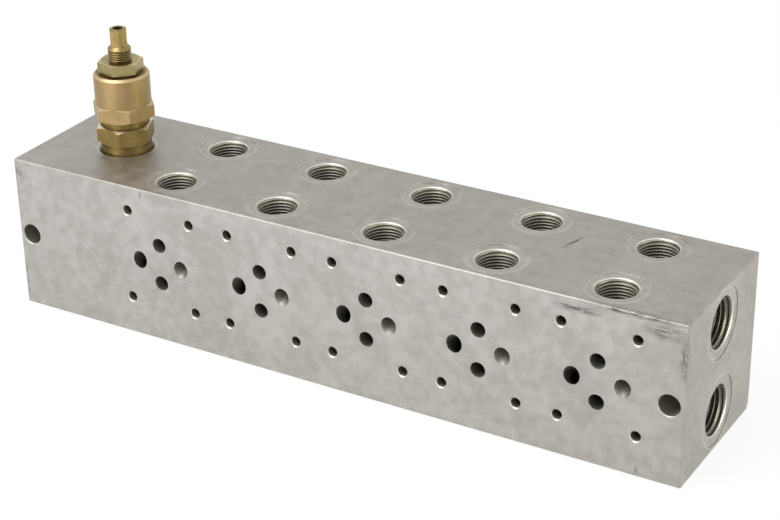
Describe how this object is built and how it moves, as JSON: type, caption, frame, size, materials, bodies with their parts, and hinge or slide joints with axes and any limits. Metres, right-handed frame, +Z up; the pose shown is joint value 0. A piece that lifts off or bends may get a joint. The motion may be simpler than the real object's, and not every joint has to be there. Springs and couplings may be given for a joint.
{
  "type": "hydraulic manifold block",
  "caption": "Aluminium bar manifold with valve stations on its front face, threaded service and end ports, and a screw-in adjustable pressure relief valve.",
  "frame": {"origin": "centre of the block's underside", "axes": "+X along the bar towards the end ports, -Y out of the valve stations, +Z up out of the service ports"},
  "size_m": [0.31, 0.068, 0.123],
  "materials": {
    "block_aluminium": "milled and slightly dulled",
    "zinc_plated_steel": "yellow chromated zinc",
    "hardened_steel": "ground",
    "spring_steel": "oiled",
    "nitrile_rubber": "matt",
    "backup_ring_plastic": "matt"
  },
  "bodies": {
    "manifold": {"manifold_block": "block_aluminium", "valve_body": "zinc_plated_steel", "valve_seat": "hardened_steel", "spring_housing": "zinc_plated_steel", "pressure_spring": "spring_steel", "housing_seal": "nitrile_rubber", "mouth_seal": "nitrile_rubber", "nose_seal": "nitrile_rubber", "nose_backup_rings": "backup_ring_plastic"},
    "spring_plate": {"upper_spring_plate": "hardened_steel", "piston_seal": "nitrile_rubber"},
    "adjuster": {"adjusting_screw": "zinc_plated_steel", "screw_stop_ring": "spring_steel"},
    "nut_seal": {"lock_nut_seal": "nitrile_rubber"},
    "nut": {"lock_nut": "zinc_plated_steel"},
    "closing_cone": {"poppet": "hardened_steel", "spring_guide": "hardened_steel"}
  },
  "joints": [
    {"name": "adjuster_travel", "type": "slide", "parent": "manifold", "child": "spring_plate", "axis": [0, 0, 1], "range_m": [-0.004, 0.002], "deforming": ["pressure_spring"]},
    {"name": "adjuster_turn", "type": "hinge", "parent": "spring_plate", "child": "adjuster", "pos_m": [-0.12, 0, 0.069], "axis": [0, 0, 1], "range_deg": [-1440, 720]},
    {"name": "nut_lift", "type": "slide", "parent": "manifold", "child": "nut_seal", "axis": [0, 0, 1], "range_m": [0, 0.004]},
    {"name": "nut_turn", "type": "hinge", "parent": "nut_seal", "child": "nut", "pos_m": [-0.12, 0, 0.069], "axis": [0, 0, 1], "range_deg": [0, 1440]},
    {"name": "cone_lift", "type": "slide", "parent": "manifold", "child": "closing_cone", "axis": [0, 0, 1], "range_m": [0, 0.0015], "stiffness_N_per_m": 32000, "springref_m": -0.007}
  ],
  "couplings": [
    {"joint": "adjuster_travel", "follows": "adjuster_turn", "m_per_rad": 0.00015914},
    {"joint": "nut_lift", "follows": "nut_turn", "m_per_rad": 0.00015914}
  ]
}
